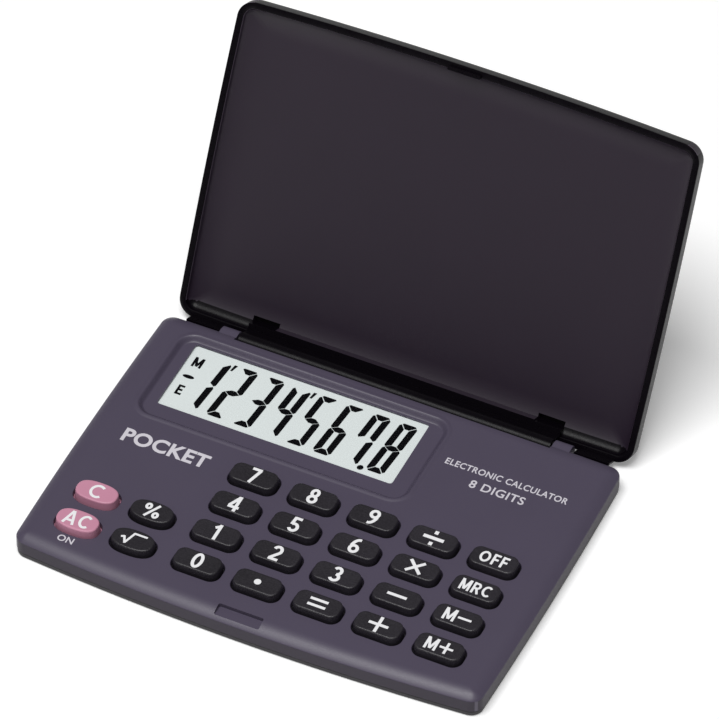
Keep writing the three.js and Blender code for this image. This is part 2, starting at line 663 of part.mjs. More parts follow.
const CASE_PLASTIC = { colour: 0x5f5a69, roughness: 0.5 };
const BACK_PLASTIC = { colour: 0x2e2a35, roughness: 0.55 };
const LID_PLASTIC = { colour: 0x2c2730, roughness: 0.42 };
const KEY_BLACK = { colour: 0x28272b, roughness: 0.45 };
const KEY_PINK = { colour: 0xc4869b, roughness: 0.45 };
const STEEL = { colour: 0xb9b9b6, roughness: 0.35, metalness: 1 };

const calculator = new THREE.Group();
calculator.add(meshOf("upper_case", upperCase(), CASE_PLASTIC));
calculator.add(meshOf("lower_case", lowerCase(), BACK_PLASTIC));
calculator.add(meshOf("display_window", displayWindow(), { colour: 0xe8eeee, roughness: 0.08 }));
calculator.add(meshOf("lcd_panel", lcdPanel(), { colour: 0xc9d2cf, roughness: 0.2 }));
calculator.add(meshOf("lcd_ribbon", lcdRibbon(), { colour: 0xb88a3a, roughness: 0.6 }));
calculator.add(meshOf("circuit_board", circuitBoard(), { colour: 0x2f6b3c, roughness: 0.6 }));
calculator.add(meshOf("chip_cover", chipCover(), { colour: 0x111111, roughness: 0.4 }));
CAPACITOR_PLACES.forEach((place, i) => {
  calculator.add(meshOf(`capacitor_${i + 1}`, capacitor(place), { colour: 0x9a7a55, roughness: 0.6 }));
});
calculator.add(meshOf("key_mat", keyMat(), { colour: 0x8c8c8c, roughness: 0.8 }));
calculator.add(meshOf("battery_cell", cell(), STEEL));
calculator.add(meshOf("battery_contact_negative", negativeContact(), STEEL));
calculator.add(meshOf("battery_contact_positive", positiveContact(), STEEL));
for (const key of KEYS) {
  calculator.add(meshOf(key.name, keySolid(key), PINK_KEYS.includes(key.name) ? KEY_PINK : KEY_BLACK));
}
bosses.forEach(([x, y], i) => calculator.add(meshOf(`case_screw_${i + 1}`, screw(x, y), STEEL)));

// The lid hangs in a group that turns about the hinge axis.
const lidSwing = new THREE.Group();
lidSwing.position.set(0, HINGE_Y, HINGE_Z);
lidSwing.rotation.x = -LID_OPEN;
const lidMesh = meshOf("lid", lid().translate([0, -HINGE_Y, -HINGE_Z]), LID_PLASTIC);
lidSwing.add(lidMesh);
calculator.add(lidSwing);

export default calculator;
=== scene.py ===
import bmesh
import bpy
import numpy as np
from mathutils import Matrix, Vector
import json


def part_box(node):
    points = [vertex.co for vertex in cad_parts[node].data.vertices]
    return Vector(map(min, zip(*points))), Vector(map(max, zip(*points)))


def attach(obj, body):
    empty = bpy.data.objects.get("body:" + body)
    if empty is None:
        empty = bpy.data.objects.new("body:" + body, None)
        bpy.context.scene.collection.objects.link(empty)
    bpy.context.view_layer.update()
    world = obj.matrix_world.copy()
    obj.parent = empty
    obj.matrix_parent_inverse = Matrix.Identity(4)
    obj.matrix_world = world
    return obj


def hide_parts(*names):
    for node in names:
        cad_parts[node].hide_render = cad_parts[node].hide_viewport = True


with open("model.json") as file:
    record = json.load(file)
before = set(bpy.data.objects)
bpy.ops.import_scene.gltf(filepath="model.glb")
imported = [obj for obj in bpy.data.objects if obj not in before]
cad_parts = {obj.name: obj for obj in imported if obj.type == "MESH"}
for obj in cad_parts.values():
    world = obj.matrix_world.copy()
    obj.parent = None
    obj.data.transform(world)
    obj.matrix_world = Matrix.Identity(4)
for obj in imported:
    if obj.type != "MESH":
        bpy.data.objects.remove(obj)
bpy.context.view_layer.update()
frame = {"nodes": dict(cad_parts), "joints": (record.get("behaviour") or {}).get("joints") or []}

# ---- Case top -----------------------------------------------------------------------------------
# The upper half of the case: one injection-moulded shell of lilac-grey ABS with a fine satin
# grain. Its sides are bowed, its top falls away softly towards a rolled edge, and it is pierced
# for 24 keys and the display. It carries the hinge knuckles at its back corners.
MM = 0.001
case_low, case_high = (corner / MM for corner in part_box("upper_case"))
CASE_HALF = case_high.x
CASE_FRONT, CASE_BACK = case_low.y, -case_low.y
CASE_CORNER = 2.2
CASE_BOWS = {"side": 0.45, "front": 1.9, "back": 0.35}
CASE_TOP = case_high.z
CASE_PARTING = case_low.z
CASE_WALL = 1.4
ROOF_THICK = 1.2
ROOF_UNDERSIDE = CASE_TOP - ROOF_THICK
OVERLAP = 0.1
EDGE_CORNER = 0.3
EDGE_ARC = 4.6
EDGE_TILT = np.radians(38)


def rounded_plan(left, right, front, back, corner, corner_steps=8, side_steps=1):
    """Points round a rectangle, anticlockwise: four quarter circles of the corner radius, with
    each straight side between them cut into equal parts."""
    turn = np.linspace(0, np.pi / 2, corner_steps + 1)
    centres = [(right - corner, back - corner), (left + corner, back - corner),
               (left + corner, front + corner), (right - corner, front + corner)]
    arcs = [np.array(c) + corner * np.stack([np.cos(turn + q), np.sin(turn + q)], 1)
            for c, q in zip(centres, np.arange(4) * np.pi / 2)]
    part = np.arange(1, side_steps)[:, None] / side_steps
    sides = [a[-1] + (b[0] - a[-1]) * part for a, b in zip(arcs, arcs[1:] + arcs[:1])]
    return np.concatenate([points for pair in zip(arcs, sides) for points in pair])


def bowed(plan, half, front, back, bows):
    """The plan with bowed sides: x falls back by the side bow times (along squared x across), and
    y by the front or back bow times (across squared x along), so that the middles stay put."""
    middle, reach = (front + back) / 2, (back - front) / 2
    across, along = plan[:, 0] / half, (plan[:, 1] - middle) / reach
    end_bow = np.where(along < 0, bows["front"], bows["back"])
    x = plan[:, 0] - bows["side"] * along**2 * across
    y = plan[:, 1] - end_bow * across**2 * along
    return np.stack([x, y], 1)


def case_plan(inset):
    plan = rounded_plan(-CASE_HALF + inset, CASE_HALF - inset, CASE_FRONT + inset,
                        CASE_BACK - inset, max(CASE_CORNER - inset, 0.35), 12, 40)
    return bowed(plan, CASE_HALF, CASE_FRONT, CASE_BACK, CASE_BOWS)


def at_height(plan, z):
    return np.column_stack([plan, np.broadcast_to(z, len(plan))])


def pile(rings, looped=False):
    """A closed body from rings of equally many points: each ring is joined to the next by quads.
    The first and last rings are each closed by a flat face, or joined to each other if looped."""
    count, round_ = len(rings), len(rings[0])
    k = np.arange(count if looped else count - 1)[:, None]
    i = np.arange(round_)[None, :]
    above, beside = (k + 1) % count, (i + 1) % round_
    quads = np.stack([k * round_ + i, k * round_ + beside,
                      above * round_ + beside, above * round_ + i], -1).reshape(-1, 4)
    faces = quads.tolist()
    if not looped:
        last = (count - 1) * round_
        faces += [list(range(round_))[::-1], list(range(last, last + round_))]
    return np.concatenate(rings), faces


def upright(plan, low, high):
    return pile([at_height(plan, low), at_height(plan, high)])


def block(left, right, front, back, low, high):
    corners = np.array([[right, back], [left, back], [left, front], [right, front]], float)
    return upright(corners, low, high)


def together(*parts):
    """Several (points, faces) as one, with each part's faces counted on from the last."""
    starts = np.cumsum([0] + [len(points) for points, _ in parts])
    faces = [[v + start for v in face] for (_, fs), start in zip(parts, starts) for face in fs]
    return np.concatenate([points for points, _ in parts]), faces


def made(name, part):
    """A mesh object at the origin from points in millimetres."""
    points, faces = part
    mesh = bpy.data.meshes.new(name)
    mesh.from_pydata((points * MM).tolist(), [], faces)
    mesh.update()
    thing = bpy.data.objects.new(name, mesh)
    bpy.context.scene.collection.objects.link(thing)
    return thing


def settled(thing):
    """The object with its modifiers worked into its mesh."""
    bpy.context.view_layer.update()
    seen = thing.evaluated_get(bpy.context.evaluated_depsgraph_get())
    mesh = bpy.data.meshes.new_from_object(seen)
    thing.modifiers.clear()
    thing.data = mesh
    mesh.name = thing.name
    return thing


def worked(thing, part, operation="DIFFERENCE"):
    """The object with the part cut away from it, or joined to it with UNION."""
    tool = made("tool", part)
    step = thing.modifiers.new("step", "BOOLEAN")
    step.object, step.operation, step.solver = tool, operation, "MANIFOLD"
    settled(thing)
    bpy.data.objects.remove(tool)
    return thing


def taken(thing):
    """The object's mesh as (points in millimetres, faces); the object itself is removed."""
    points = np.array([corner.co for corner in thing.data.vertices]) / MM
    faces = [list(face.vertices) for face in thing.data.polygons]
    bpy.data.objects.remove(thing)
    return points, faces


def shaded(thing, crease=32):
    """Smooth faces with creases kept sharper than the angle, and normals led by the large faces."""
    thing.data.polygons.foreach_set("use_smooth", np.ones(len(thing.data.polygons), bool))
    thing.data.set_sharp_from_angle(angle=np.radians(crease))
    lead = thing.modifiers.new("lead", "WEIGHTED_NORMAL")
    lead.keep_sharp = True
    return settled(thing)


def quarter(steps):
    """Cosine and sine from 0 to 90 degrees: the section of a rounded edge."""
    turn = np.linspace(0, np.pi / 2, steps + 1)
    return list(zip(np.cos(turn), np.sin(turn)))


ROD_CHAMFER = 0.08


def rod(radius, left, right, y, z, steps=40):
    """A rod along X: a circle in the YZ plane carried from left to right, its ends chamfered."""
    turn = np.linspace(0, 2 * np.pi, steps, endpoint=False)
    rings = []
    for x, r in [(left, radius - ROD_CHAMFER), (left + ROD_CHAMFER, radius),
                 (right - ROD_CHAMFER, radius), (right, radius - ROD_CHAMFER)]:
        rings.append(np.stack([np.full(steps, x), y + r * np.cos(turn), z + r * np.sin(turn)], 1))
    return pile(rings)


def post(radius, x, y, low, high, steps=40):
    turn = np.linspace(0, 2 * np.pi, steps, endpoint=False)
    return upright(np.stack([x + radius * np.cos(turn), y + radius * np.sin(turn)], 1), low, high)


hinge = next(j for j in frame["joints"] if j["name"] == "lid_hinge")
HINGE_Y, HINGE_Z = (metres / MM for metres in hinge["pos_m"][1:])
BARREL_RADIUS = 1.7
BARREL_HALF = 30.5
HINGE_GAP = 0.3
PIN_RADIUS = 0.75
KNUCKLE_RADIUS = 1.6
PIN_CLEARANCE = 0.12
PIN_LENGTH = 2
KNUCKLE_WIDTH = 3.4
NECK_ROOT = 1.2
cheek = BARREL_HALF + HINGE_GAP
notch_front = HINGE_Y - BARREL_RADIUS - HINGE_GAP

# The top edge: a crisp corner turns the wall's face over to the edge tilt, then a broad arc brings
# it level with the roof.
corner_turn = np.linspace(np.pi / 2, EDGE_TILT, 6)
arc_turn = np.linspace(EDGE_TILT, 0, 17)[1:]
edge_low = CASE_TOP - EDGE_CORNER * np.cos(EDGE_TILT) - EDGE_ARC * (1 - np.cos(EDGE_TILT))
corner_in = EDGE_CORNER * (1 - np.sin(EDGE_TILT))
top_edge = [(EDGE_CORNER * (1 - np.sin(t)), edge_low + EDGE_CORNER * np.cos(t))
            for t in corner_turn]
top_edge += [(corner_in + EDGE_ARC * (np.sin(EDGE_TILT) - np.sin(t)),
              CASE_TOP - EDGE_ARC * (1 - np.cos(t))) for t in arc_turn]
case_section = [(CASE_WALL, ROOF_UNDERSIDE), (CASE_WALL, CASE_PARTING), (0.12, CASE_PARTING),
                (0.03, CASE_PARTING + 0.06), (0.0, CASE_PARTING + 0.2), *top_edge]
case_top = made("case_top", pile([at_height(case_plan(i), z) for i, z in case_section]))

knuckle_lefts = (-cheek - KNUCKLE_WIDTH, cheek)
knuckles = [rod(KNUCKLE_RADIUS, left, left + KNUCKLE_WIDTH, HINGE_Y, HINGE_Z)
            for left in knuckle_lefts]
necks = [block(left, left + KNUCKLE_WIDTH, CASE_BACK - NECK_ROOT, HINGE_Y, CASE_PARTING,
               HINGE_Z + KNUCKLE_RADIUS) for left in knuckle_lefts]
worked(case_top, block(-cheek - CASE_WALL, cheek + CASE_WALL, notch_front - CASE_WALL,
                       notch_front, CASE_PARTING, ROOF_UNDERSIDE + OVERLAP), "UNION")
worked(case_top, block(-cheek, cheek, notch_front, CASE_BACK + 5, 0, CASE_TOP + 1))
worked(case_top, together(*necks), "UNION")
worked(case_top, together(*knuckles), "UNION")
worked(case_top, block(-CASE_HALF, CASE_HALF, HINGE_Y - 3, HINGE_Y + 4, -1, CASE_PARTING))
pin_hole = PIN_RADIUS + PIN_CLEARANCE
worked(case_top, together(rod(pin_hole, -cheek - PIN_LENGTH, -cheek + 1, HINGE_Y, HINGE_Z),
                          rod(pin_hole, cheek - 1, cheek + PIN_LENGTH, HINGE_Y, HINGE_Z)))

# The dish round the display: a soft bead stands round it, and from the bead's crest its sides are
# soft curves down to its flat floor.
lens_low, lens_high = (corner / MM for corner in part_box("display_window"))
LENS_GAP = 0.1
WINDOW = (lens_low.x - LENS_GAP, lens_high.x + LENS_GAP,
          lens_low.y - LENS_GAP, lens_high.y + LENS_GAP)
WINDOW_CORNER = 0.6
DISH_REACH = (-2.95, 4.05, -3.95, 0.6)
DISH = np.array(WINDOW) + DISH_REACH
DISH_DEPTH = 0.8
DISH_CORNER = 2.2
DISH_SLOPE = 1.2
BEAD_HALF = 0.9
BEAD_HIGH = 0.15
BEAD_SUNK = 0.01
BEAD_ROOT = 0.4


def rounded_tool(left, right, front, back, corner, floor, slope, lip):
    """A cutting body with soft sides: from the floor it rises by half a cosine wave over the
    slope's width to the roof, then flares by the lip and goes straight up."""
    rings = []
    for s in np.linspace(0, 1, 11):
        out = slope * s
        rings.append(at_height(
            rounded_plan(left - out, right + out, front - out, back + out, corner + out, 10),
            floor + (CASE_TOP + lip - floor) * (1 - np.cos(np.pi * s)) / 2))
    rings.append(rings[-1] + [0, 0, 1.0])
    return pile(rings)


dish_floor = DISH + DISH_SLOPE * np.array([0.9, -0.9, 0.9, -0.3])


def dish_bead():
    """A ring round the dish: its top is one full cosine wave, highest where the slope ends."""
    def ring(out, z):
        grow = np.array([-out, out, -out, out])
        return at_height(rounded_plan(*(dish_floor + grow), DISH_CORNER + out, 10), z)
    share = np.linspace(1, 0, 15)
    tops = [ring(DISH_SLOPE + BEAD_HALF * (2 * t - 1),
                 CASE_TOP - BEAD_SUNK + BEAD_HIGH * (1 - np.cos(2 * np.pi * t)) / 2) for t in share]
    low = CASE_TOP - BEAD_ROOT
    return pile([ring(DISH_SLOPE + BEAD_HALF, low), *tops, ring(DISH_SLOPE - BEAD_HALF, low)], True)


worked(case_top, dish_bead(), "UNION")
worked(case_top, rounded_tool(*dish_floor, DISH_CORNER, CASE_TOP - DISH_DEPTH, DISH_SLOPE,
                              BEAD_HIGH - 0.006))
worked(case_top, upright(rounded_plan(*WINDOW, WINDOW_CORNER, 6), 0, CASE_TOP))

# The holes for the keys, each with a small rounded lip, and the latch recess at the front.
KEY_FLANGE = 0.55
KEY_GAP = 0.25
KEY_CORNER = 1.7
HOLE_LIP = 0.16
OVAL_FULLNESS = 2.6
OVAL_KEYS = ["key_all_clear", "key_clear", "key_root", "key_percent"]
key_boxes = {name: [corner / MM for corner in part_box(name)]
             for name in frame["nodes"] if name.startswith("key_") and name != "key_mat"}


def key_plan(name, margin=0.0, steps=10):
    """The outline of a key. The rectangular ones have large rounded corners; the others are
    ovals fuller than an ellipse: |x/a| and |y/b| to the power of the fullness add up to one."""
    low, high = key_boxes[name]
    grow = margin - KEY_FLANGE
    left, right, front, back = low.x - grow, high.x + grow, low.y - grow, high.y + grow
    if name not in OVAL_KEYS:
        return rounded_plan(left, right, front, back, KEY_CORNER + margin, steps, 4)
    turn = np.linspace(0, 2 * np.pi, 4 * steps + 16, endpoint=False)
    c, s = np.cos(turn), np.sin(turn)
    x = np.sign(c) * np.abs(c) ** (2 / OVAL_FULLNESS) * (right - left) / 2
    y = np.sign(s) * np.abs(s) ** (2 / OVAL_FULLNESS) * (back - front) / 2
    return np.stack([x + (left + right) / 2, y + (front + back) / 2], 1)


def key_hole(name):
    rings = [at_height(key_plan(name, KEY_GAP), 1.0)]
    for c, s in quarter(4):
        rings.append(at_height(key_plan(name, KEY_GAP + HOLE_LIP * (1 - c)),
                               CASE_TOP - HOLE_LIP * (1 - s) + 0.002))
    rings.append(rings[-1] + [0, 0, 2.0])
    return pile(rings)


worked(case_top, together(*[key_hole(name) for name in key_boxes]))
CATCH_X = -0.8
LATCH_HALF = 4.3
LATCH_DEPTH = 0.8
LATCH = (CATCH_X - LATCH_HALF, CATCH_X + LATCH_HALF, CASE_FRONT + 0.8, CASE_FRONT + 3.1)
worked(case_top, upright(rounded_plan(*LATCH, 0.35, 4), CASE_TOP - LATCH_DEPTH, CASE_TOP + 1))
for_screws = [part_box(f"case_screw_{n}") for n in (1, 2, 3, 4)]
screw_places = [((low.x + high.x) / 2 / MM, (low.y + high.y) / 2 / MM) for low, high in for_screws]
BOSS_RADIUS = 1.5
SCREW_BORE = 0.8
BORE_REACH = 2.1
worked(case_top, together(*[post(BOSS_RADIUS, x, y, CASE_PARTING, ROOF_UNDERSIDE + OVERLAP)
                            for x, y in screw_places]), "UNION")
worked(case_top, together(*[post(SCREW_BORE, x, y, 0, CASE_PARTING + BORE_REACH)
                            for x, y in screw_places]))
shaded(case_top)


def surface_group(name, build, inputs, outputs):
    """A node group with named sockets; build(nodes, links, inlet, outlet) fills it."""
    group = bpy.data.node_groups.new(name, "ShaderNodeTree")
    for label, kind, value in inputs:
        socket = group.interface.new_socket(label, in_out="INPUT", socket_type=kind)
        socket.default_value = value
    for label, kind in outputs:
        group.interface.new_socket(label, in_out="OUTPUT", socket_type=kind)
    nodes = group.nodes
    build(nodes, group.links, nodes.new("NodeGroupInput"), nodes.new("NodeGroupOutput"))
    return group


def linear(rgb):
    """A screen colour of 0 to 255 as the linear colour that the shader takes."""
    c = np.array(rgb) / 255
    return (*np.where(c <= 0.04045, c / 12.92, ((c + 0.055) / 1.055) ** 2.4), 1.0)


def fill_skin(nodes, links, inlet, outlet):
    """Spark-eroded mould skin: a fine pebble of two noises for the height, a slow cloud that
    varies the colour, and the roughness following both."""
    where = nodes.new("ShaderNodeTexCoord").outputs["Object"]

    def noise(scale, detail):
        n = nodes.new("ShaderNodeTexNoise")
        n.inputs["Detail"].default_value = detail
        links.new(where, n.inputs["Vector"])
        if isinstance(scale, (int, float)):
            n.inputs["Scale"].default_value = scale
        else:
            links.new(scale, n.inputs["Scale"])
        return n.outputs["Fac"]

    def math(kind, a, b):
        m = nodes.new("ShaderNodeMath")
        m.operation = kind
        for socket, value in zip(m.inputs, (a, b)):
            if isinstance(value, (int, float)):
                socket.default_value = value
            else:
                links.new(value, socket)
        return m.outputs[0]

    pebble = noise(inlet.outputs["Grain"], 3.0)
    cloud = noise(90.0, 2.0)
    centred = math("SUBTRACT", cloud, 0.5)
    spot = math("SUBTRACT", pebble, 0.5)
    shift = math("MULTIPLY", math("ADD", centred, math("MULTIPLY", spot, 0.8)),
                 inlet.outputs["Mottle"])
    value = math("ADD", shift, 1.0)
    tint = nodes.new("ShaderNodeVectorMath")
    tint.operation = "SCALE"
    links.new(inlet.outputs["Colour"], tint.inputs[0])
    links.new(value, tint.inputs["Scale"])
    links.new(tint.outputs[0], outlet.inputs["Colour"])
    links.new(math("ADD", inlet.outputs["Roughness"], math("MULTIPLY", spot, 0.25)),
              outlet.inputs["Roughness"])
    links.new(pebble, outlet.inputs["Height"])


mould_skin = surface_group(
    "mould_skin", fill_skin,
    [("Colour", "NodeSocketColor", (0.5, 0.5, 0.5, 1)), ("Grain", "NodeSocketFloat", 4000.0),
     ("Mottle", "NodeSocketFloat", 0.1), ("Roughness", "NodeSocketFloat", 0.5)],
    [("Colour", "NodeSocketColor"), ("Roughness", "NodeSocketFloat"),
     ("Height", "NodeSocketFloat")])


def moulded(name, colour, grain=0.22, mottle=0.1, roughness=0.45, depth=0.02, **sockets):
    """A moulded plastic: the skin's grain in millimetres and its depth in millimetres."""
    material = bpy.data.materials.new(name)
    material.use_nodes = True
    nodes, links = material.node_tree.nodes, material.node_tree.links
    shader = nodes["Principled BSDF"]
    skin = nodes.new("ShaderNodeGroup")
    skin.node_tree = mould_skin
    skin.inputs["Colour"].default_value = linear(colour)
    skin.inputs["Grain"].default_value = 1 / (grain * MM)
    skin.inputs["Mottle"].default_value = mottle
    skin.inputs["Roughness"].default_value = roughness
    links.new(skin.outputs["Colour"], shader.inputs["Base Color"])
    links.new(skin.outputs["Roughness"], shader.inputs["Roughness"])
    bump = nodes.new("ShaderNodeBump")
    bump.inputs["Distance"].default_value = depth * MM
    bump.inputs["Strength"].default_value = 1.0
    links.new(skin.outputs["Height"], bump.inputs["Height"])
    links.new(bump.outputs["Normal"], shader.inputs["Normal"])
    for label, value in sockets.items():
        shader.inputs[label.replace("_", " ")].default_value = value
    return material


def dressed(thing, material, body, slot, *nodes):
    """Gives the piece its material and its body, and hides the CAD nodes it stands for; the slot is
    not used.
    """
    thing.data.materials.clear()
    thing.data.materials.append(material)
    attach(thing, body)
    if nodes:
        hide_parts(*nodes)
    return thing


case_plastic = moulded("case_plastic", (77, 70, 88), grain=0.2, mottle=0.1, roughness=0.42,
                       depth=0.01)
# The outer walls below the edge corner get a darker copy of the case plastic: painted shade.
painted_shade_wall = moulded("painted_shade_wall", (50, 43, 56), grain=0.2, mottle=0.1, roughness=0.5, depth=0.01,
                    Specular_IOR_Level=0.3)


def faces_of(thing):
    """The middles in millimetres and the unit normals of the object's faces."""
    middles, normals = (np.empty(len(thing.data.polygons) * 3) for _ in range(2))
    thing.data.polygons.foreach_get("center", middles)
    thing.data.polygons.foreach_get("normal", normals)
    return middles.reshape(-1, 3) / MM, normals.reshape(-1, 3)


dressed(case_top, case_plastic, "base", "case", "upper_case")
case_top.data.materials.append(painted_shade_wall)
middles, normals = faces_of(case_top)
# Faces of the outer walls below the edge corner take the darker material, as painted shade.
painted_shade_faces = (np.abs(normals[:, 2]) < 0.3) & (
    (np.abs(middles[:, 0]) > CASE_HALF - 0.8) | (middles[:, 1] < CASE_FRONT + 2.3))
case_top.data.polygons.foreach_set("material_index", (
    painted_shade_faces & (middles[:, 2] < edge_low + 0.3)).astype(np.int32))

# ---- Printing on the case -----------------------------------------------------------------------
# Pad-printed white and light-grey words on the case top: generic words only, a film of ink a few
# hundredths of a millimetre thick that lies on the plastic.
CAP_SHARE = 0.682
INK_THICK = 0.04


def lettering(words, high, x, y, z, bold=0.0, spacing=1.0, wide=1.0):
    """Words as a thin closed body of the given capital height, centred on x, its underside at z.
    The words are made a mesh first, then widened and placed as arrays."""
    curve = bpy.data.curves.new("words", "FONT")
    curve.body, curve.size = words, high / CAP_SHARE
    curve.align_x = "CENTER"
    curve.space_character = spacing
    curve.offset, curve.extrude = bold, INK_THICK / 2
    curve.resolution_u = 5
    text = bpy.data.objects.new("words", curve)
    bpy.context.scene.collection.objects.link(text)
    bpy.context.view_layer.update()
    mesh = bpy.data.meshes.new_from_object(text)
    bm = bmesh.new()
    bm.from_mesh(mesh)
    bmesh.ops.remove_doubles(bm, verts=bm.verts, dist=1e-5)
    bm.to_mesh(mesh)
    bm.free()
    points = np.empty(len(mesh.vertices) * 3)
    mesh.vertices.foreach_get("co", points)
    points = points.reshape(-1, 3)
    faces = [list(p.vertices) for p in mesh.polygons]
    bpy.data.objects.remove(text)
    bpy.data.meshes.remove(mesh)
    points[:, 1] -= high / 2
    points[:, 0] *= wide
    return points + [x, y, z + INK_THICK / 2], faces


def ink(name, colour, roughness=0.5):
    return moulded(name, colour, grain=0.3, mottle=0.08, roughness=roughness, depth=0.004)


PEN = 0.19
LETTER_SPACE = 0.15


def arc(x, y, across, along, first, last, steps=22):
    """Points on an ellipse about (x, y) from the first angle to the last, in degrees."""
    t = np.radians(np.linspace(first, last, steps))
    return np.stack([x + across * np.cos(t), y + along * np.sin(t)], 1)


def ring(x, y, across, along):
    return arc(x, y, across, along, 0, 345, 24), "closed"


def dash(*points):
    return np.array(points, float)


six = [np.concatenate([dash((0.5, 0.905)), arc(0.45, 0.36, 0.345, 0.545, 95, 170, 14)]),
       ring(0.31, 0.3, 0.215, 0.205)]
nine = [np.array([0.62, 1.0]) - six[0], ring(0.31, 0.7, 0.215, 0.205)]
# Each glyph: its width and the middle lines of its strokes, for a capital height of one.
GLYPHS = {
    "0": (0.64, [ring(0.32, 0.5, 0.225, 0.405)]),
    "1": (0.5, [dash((0.31, 0), (0.31, 1)), dash((0.06, 0.73), (0.31, 0.9))]),
    "2": (0.62, [np.concatenate([arc(0.31, 0.68, 0.21, 0.225, 165, -38), dash((0.09, 0.12))]),
                 dash((0.02, 0.095), (0.58, 0.095))]),
    "3": (0.6, [arc(0.28, 0.7, 0.2, 0.205, 155, -90), arc(0.27, 0.295, 0.235, 0.2, 90, -155)]),
    "4": (0.66, [dash((0.45, 0), (0.45, 1)), dash((0.42, 0.95), (0.06, 0.3)),
                 dash((0.0, 0.27), (0.64, 0.27))]),
    "5": (0.6, [dash((0.54, 0.905), (0.12, 0.905)), dash((0.165, 0.96), (0.115, 0.47)),
                arc(0.28, 0.32, 0.225, 0.225, 130, -155)]),
    "6": (0.62, six),
    "7": (0.6, [dash((0.03, 0.905), (0.585, 0.905)), dash((0.52, 0.9), (0.22, 0.0))]),
    "8": (0.6, [ring(0.3, 0.705, 0.18, 0.2), ring(0.3, 0.295, 0.215, 0.2)]),
    "9": (0.62, nine),
    "A": (0.8, [dash((0.085, 0), (0.385, 1)), dash((0.715, 0), (0.415, 1)),
                dash((0.2, 0.29), (0.6, 0.29))]),
    "C": (0.74, [arc(0.41, 0.5, 0.32, 0.405, 48, 312, 30)]),
    "E": (0.56, [dash((0.095, 0), (0.095, 1)), dash((0.05, 0.905), (0.54, 0.905)),
                 dash((0.05, 0.51), (0.5, 0.51)), dash((0.05, 0.095), (0.56, 0.095))]),
    "F": (0.52, [dash((0.095, 0), (0.095, 1)), dash((0.05, 0.905), (0.52, 0.905)),
                 dash((0.05, 0.5), (0.47, 0.5))]),
    "M": (0.84, [dash((0.095, 0), (0.095, 1)), dash((0.745, 0), (0.745, 1)),
                 dash((0.12, 0.98), (0.42, 0.1)), dash((0.72, 0.98), (0.42, 0.1))]),
    "O": (0.8, [ring(0.4, 0.5, 0.305, 0.405)]),
    "R": (0.66, [dash((0.095, 0), (0.095, 1)), dash((0.05, 0.905), (0.36, 0.905)),
                 arc(0.35, 0.69, 0.2, 0.215, 90, -90, 14), dash((0.36, 0.475), (0.05, 0.475)),
                 dash((0.33, 0.5), (0.57, 0.0))]),
    "+": (0.94, [dash((0.0, 0.5), (0.94, 0.5)), dash((0.47, 0.03), (0.47, 0.97))]),
    "-": (0.94, [dash((0.0, 0.5), (0.94, 0.5))]),
    "=": (0.94, [dash((0.0, 0.69), (0.94, 0.69)), dash((0.0, 0.31), (0.94, 0.31))]),
    "x": (0.8, [dash((0.05, 0.15), (0.75, 0.85)), dash((0.05, 0.85), (0.75, 0.15))]),
    "/": (0.94, [dash((0.0, 0.5), (0.94, 0.5)), dash((0.47, 0.74), (0.47, 0.93)),
                 dash((0.47, 0.07), (0.47, 0.26))]),
    ".": (0.4, [ring(0.2, 0.5, 0.1, 0.1)]),
    "%": (1.0, [ring(0.2, 0.75, 0.13, 0.165), ring(0.8, 0.25, 0.13, 0.165),
                dash((0.22, 0.0), (0.78, 1.0))]),
    "r": (1.5, [dash((0.0, 0.42), (0.2, 0.52)), dash((0.17, 0.55), (0.42, 0.02)),
                dash((0.4, 0.04), (0.68, 0.95)), dash((0.63, 0.93), (1.5, 0.93))]),
}


def stroke(line, width, high, z, closed=False):
    """A line of points as a bar of the given width and height: at each point a rectangle stands
    square to the tangent, found from the points before and after it."""
    if closed:
        tangent = np.roll(line, -1, 0) - np.roll(line, 1, 0)
    else:
        tangent = np.gradient(line, axis=0)
    tangent /= np.linalg.norm(tangent, axis=1, keepdims=True)
    left = np.stack([-tangent[:, 1], tangent[:, 0]], 1) * width / 2
    corners = [at_height(line - left, z), at_height(line + left, z),
               at_height(line + left, z + high), at_height(line - left, z + high)]
    return pile(list(np.stack(corners, 1)), closed)


def written(name, words, high, x, y, z, wide=1.0, pen=PEN):
    """Words in strokes, centred on (x, y) with their underside at z, as one united object. Each
    glyph is scaled to the height and the width factor; the pen keeps its share of the height."""
    widths = [GLYPHS[letter][0] for letter in words]
    start = -(sum(widths) + LETTER_SPACE * (len(words) - 1)) / 2
    bars = []
    for letter, width in zip(words, widths):
        for line in GLYPHS[letter][1]:
            closed = isinstance(line, tuple)
            points = (line[0] if closed else line) + [start, -0.5]
            points = points * [wide * high, high] + [x, y]
            bars.append(stroke(points, pen * high, INK_THICK, z, closed))
        start += width + LETTER_SPACE
    thing = made(name, bars[0])
    for bar_ in bars[1:]:
        worked(thing, bar_, "UNION")
    return thing


roof = CASE_TOP - INK_THICK / 2
case_print = made("case_print", together(
    lettering("POCKET", 2.9, -29.8, 0.6, roof, bold=0.13, spacing=1.05, wide=1.0),
    lettering("ELECTRONIC CALCULATOR", 1.35, 27.45, 19.1, roof, bold=0.035, spacing=1.08,
              wide=0.875),
    lettering("8 DIGITS", 1.75, 27.15, 15.9, roof, bold=0.04, spacing=1.08),
    lettering("ON", 1.35, -35.7, -26.3, roof, bold=0.03, spacing=1.02)))
case_ink = ink("case_ink", (214, 210, 218))
dressed(case_print, case_ink, "base", "case")

